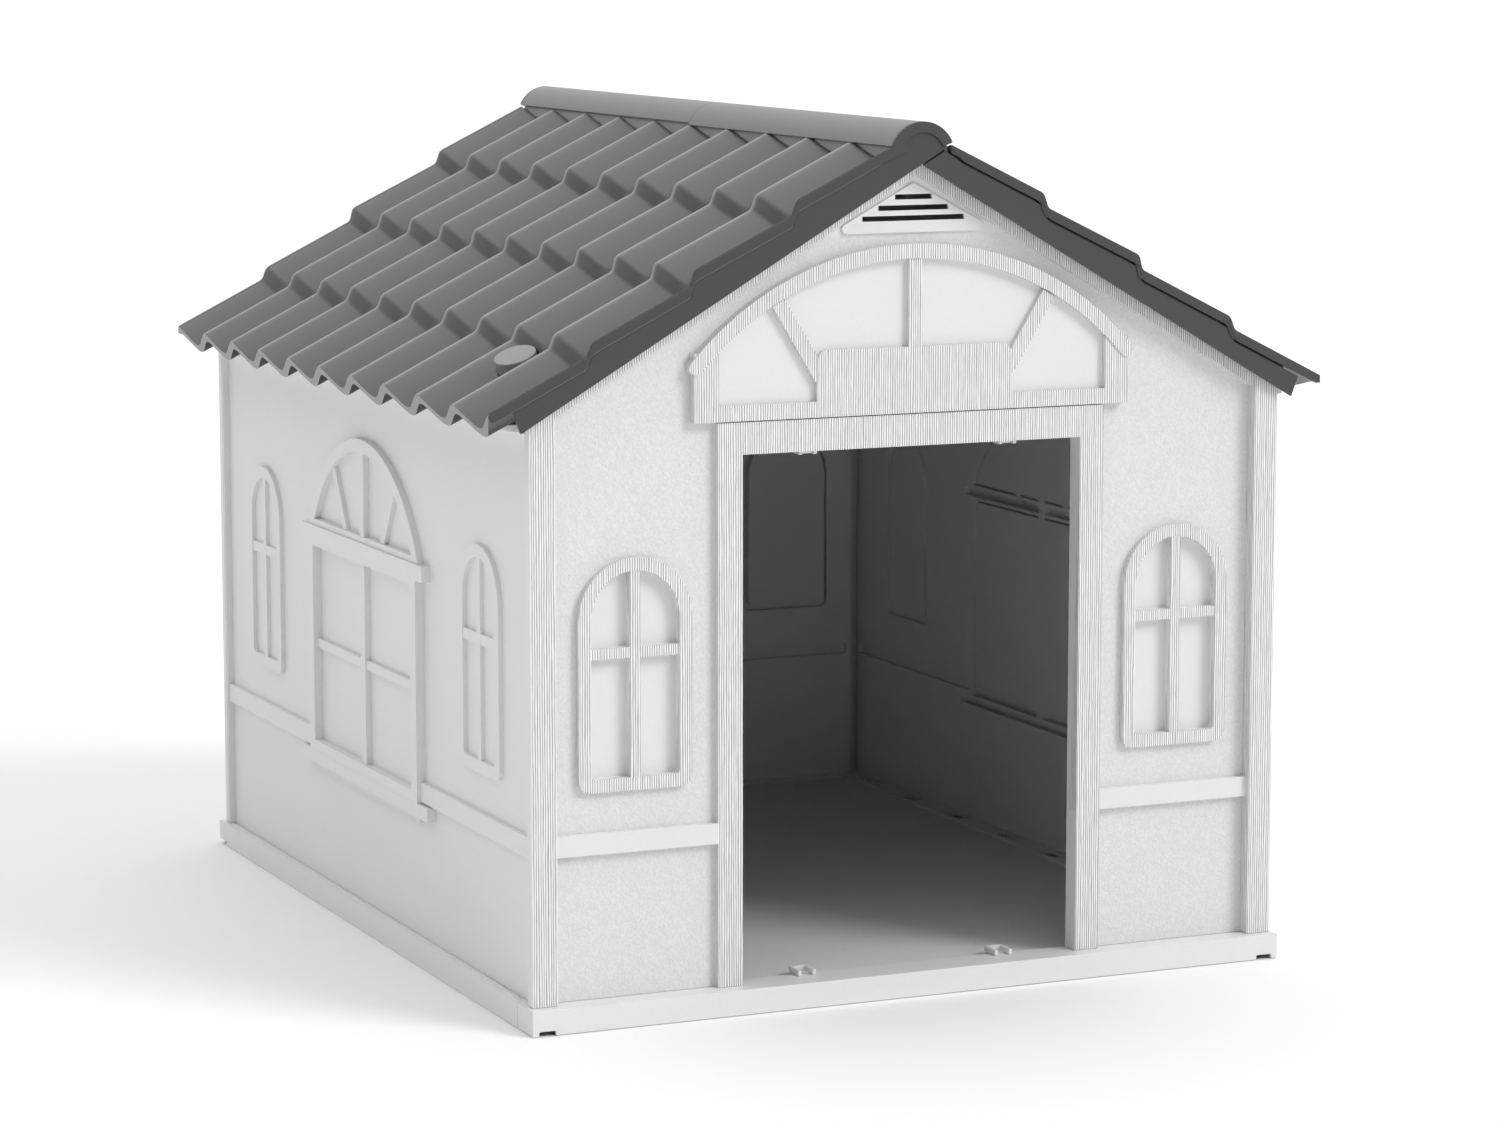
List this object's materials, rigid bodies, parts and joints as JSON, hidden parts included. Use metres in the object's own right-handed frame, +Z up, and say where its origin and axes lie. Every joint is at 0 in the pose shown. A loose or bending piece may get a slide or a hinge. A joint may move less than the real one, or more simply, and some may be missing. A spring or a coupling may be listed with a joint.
{
  "type": "plastic dog kennel",
  "caption": "House-shaped moulded plastic kennel with an open doorway, relief windows, tiled gable roof that lifts off, and turning roof knobs.",
  "frame": {"origin": "centre of the bounding box in plan, at the underside of the base", "axes": "+Z up, front with the doorway faces -Y, the ridge runs along Y, the width runs along X"},
  "size_m": [0.7854, 0.876, 0.7558],
  "materials": {
    "wall_plastic": "moulded pale grey-white, fine grain on the frames",
    "roof_plastic": "moulded dark grey, satin"
  },
  "bodies": {
    "house": {"front_sill": "wall_plastic", "rear_sill": "wall_plastic", "side_rail_left": "wall_plastic", "side_rail_right": "wall_plastic", "floor_front": "wall_plastic", "floor_rear": "wall_plastic", "front_wall": "wall_plastic", "rear_wall": "wall_plastic", "left_wall": "wall_plastic", "right_wall": "wall_plastic", "vent_front": "wall_plastic", "vent_rear": "wall_plastic", "sill_clip_left": "wall_plastic", "sill_clip_right": "wall_plastic", "header_clip_left": "wall_plastic", "header_clip_right": "wall_plastic"},
    "roof": {"roof_left": "roof_plastic", "roof_right": "roof_plastic", "lock_washer_left": "roof_plastic", "lock_washer_right": "roof_plastic"},
    "knob_left": {"lock_knob_left": "roof_plastic"},
    "knob_right": {"lock_knob_right": "roof_plastic"}
  },
  "joints": [
    {"name": "roof_lift", "type": "slide", "parent": "house", "child": "roof", "axis": [0, 0, 1], "range_m": [0, 0.25]},
    {"name": "knob_left_turn", "type": "hinge", "parent": "roof", "child": "knob_left", "pos_m": [-0.322, -0.312, 0.5601], "axis": [-0.3357, -0.1908, 0.9224], "range_deg": [0, 90]},
    {"name": "knob_right_turn", "type": "hinge", "parent": "roof", "child": "knob_right", "pos_m": [0.322, 0.312, 0.5601], "axis": [0.3357, 0.1908, 0.9224], "range_deg": [0, 90]}
  ]
}
